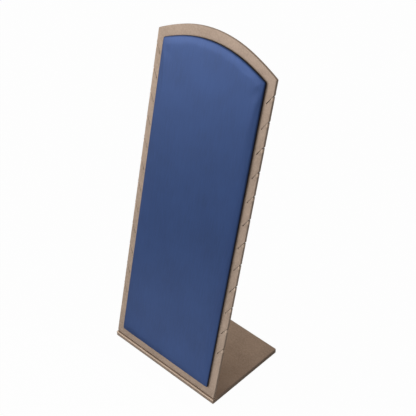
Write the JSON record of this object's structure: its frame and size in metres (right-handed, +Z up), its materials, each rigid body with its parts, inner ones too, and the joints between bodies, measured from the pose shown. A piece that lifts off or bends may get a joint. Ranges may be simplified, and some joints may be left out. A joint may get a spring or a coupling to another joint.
{
  "type": "necklace display easel",
  "caption": "Leaning arched board with chain slits down both sides and a padded front, on a flat foot board, for showing necklaces and chains.",
  "frame": {"origin": "centre of the foot's underside, where the felt meets the table", "axes": "+X across the width to the easel's right as seen from the front, +Y towards the back, +Z up"},
  "size_m": [0.1516, 0.103, 0.3768],
  "materials": {
    "champagne_leatherette": "fine-grained metallic leatherette, satin",
    "navy_leatherette": "brushed satin leatherette",
    "fibreboard": "raw medium-density fibreboard",
    "grey_card": "uncoated grey card",
    "foam": "fine open-cell foam",
    "tape": "double-sided tape",
    "felt": "short-napped felt",
    "pin_steel": "bright drawn wire"
  },
  "bodies": {
    "foot": {"base_core": "fibreboard", "base_wrap": "champagne_leatherette", "base_liner": "felt"},
    "board": {"board_core": "fibreboard", "board_wrap": "champagne_leatherette", "board_back_liner": "champagne_leatherette", "locating_pins": "pin_steel", "pad_tape": "tape", "pad_board": "grey_card", "pad_foam": "foam", "pad_cover": "navy_leatherette"}
  },
  "joints": [
    {"name": "panel_lift", "type": "slide", "parent": "foot", "child": "board", "axis": [0, 0.2385, 0.9711], "range_m": [0, 0.03]}
  ]
}
